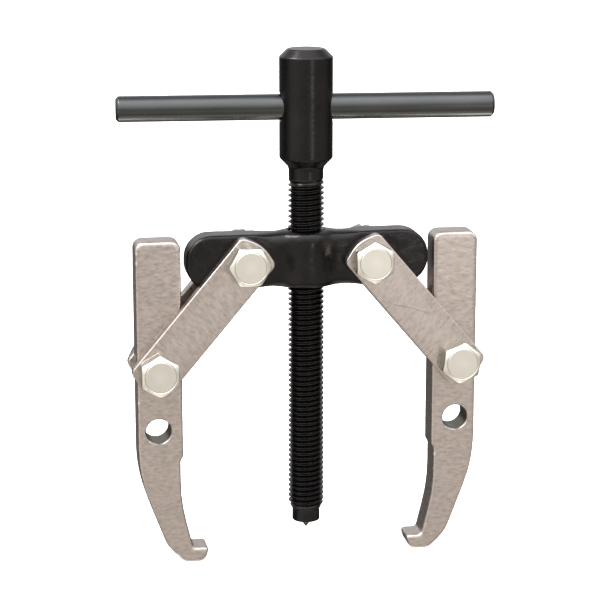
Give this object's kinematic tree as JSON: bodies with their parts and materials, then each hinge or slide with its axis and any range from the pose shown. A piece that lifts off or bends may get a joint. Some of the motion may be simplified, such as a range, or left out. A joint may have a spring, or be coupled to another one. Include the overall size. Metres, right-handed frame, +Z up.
{
  "type": "gear puller",
  "caption": "Gear puller: a forcing screw with a tee bar runs through a forged yoke, and hooked jaws hang from the yoke on paired straps.",
  "frame": {"origin": "on the forcing screw's axis, level with the seats of the two hooks", "axes": "+Z up along the forcing screw towards its head, X along the yoke, bolt heads facing -Y"},
  "size_m": [0.1242, 0.0353, 0.1717],
  "materials": {
    "black_steel": "black oxide on forged and turned steel",
    "bar_steel": "dark drawn bar, half gloss",
    "satin_steel": "satin nickel plate",
    "zinc_steel": "bright zinc plate"
  },
  "bodies": {
    "yoke": {"yoke": "black_steel"},
    "point": {"centre_point": "black_steel"},
    "screw": {"forcing_screw": "black_steel", "tommy_bar": "bar_steel"},
    "link_left": {"strap_left_front": "satin_steel", "strap_left_rear": "satin_steel", "bolt_upper_left": "zinc_steel", "lock_washer_upper_left": "zinc_steel", "nut_upper_left": "zinc_steel", "bolt_lower_left": "zinc_steel", "lock_washer_lower_left": "zinc_steel", "nut_lower_left": "zinc_steel"},
    "jaw_left": {"jaw_left": "satin_steel"},
    "link_right": {"strap_right_front": "satin_steel", "strap_right_rear": "satin_steel", "bolt_upper_right": "zinc_steel", "lock_washer_upper_right": "zinc_steel", "nut_upper_right": "zinc_steel", "bolt_lower_right": "zinc_steel", "lock_washer_lower_right": "zinc_steel", "nut_lower_right": "zinc_steel"},
    "jaw_right": {"jaw_right": "satin_steel"}
  },
  "joints": [
    {"name": "screw_feed", "type": "slide", "parent": "yoke", "child": "point", "axis": [0, 0, 1], "range_m": [-0.016, 0.074]},
    {"name": "screw_turn", "type": "hinge", "parent": "point", "child": "screw", "pos_m": [0, 0, 0.09751], "axis": [0, 0, 1], "range_deg": [-3291, 15222]},
    {"name": "link_left_swing", "type": "hinge", "parent": "yoke", "child": "link_left", "pos_m": [-0.0207, 0, 0.09751], "axis": [0, 1, 0], "range_deg": [-6, 30]},
    {"name": "jaw_left_swing", "type": "hinge", "parent": "link_left", "child": "jaw_left", "pos_m": [-0.05046, 0, 0.0623], "axis": [0, 1, 0], "range_deg": [-14, 1.5]},
    {"name": "link_right_swing", "type": "hinge", "parent": "yoke", "child": "link_right", "pos_m": [0.0207, 0, 0.09751], "axis": [0, -1, 0], "range_deg": [-6, 30]},
    {"name": "jaw_right_swing", "type": "hinge", "parent": "link_right", "child": "jaw_right", "pos_m": [0.05046, 0, 0.0623], "axis": [0, -1, 0], "range_deg": [-14, 1.5]}
  ],
  "couplings": [
    {"joint": "screw_feed", "follows": "screw_turn", "m_per_rad": 0.00027852}
  ]
}
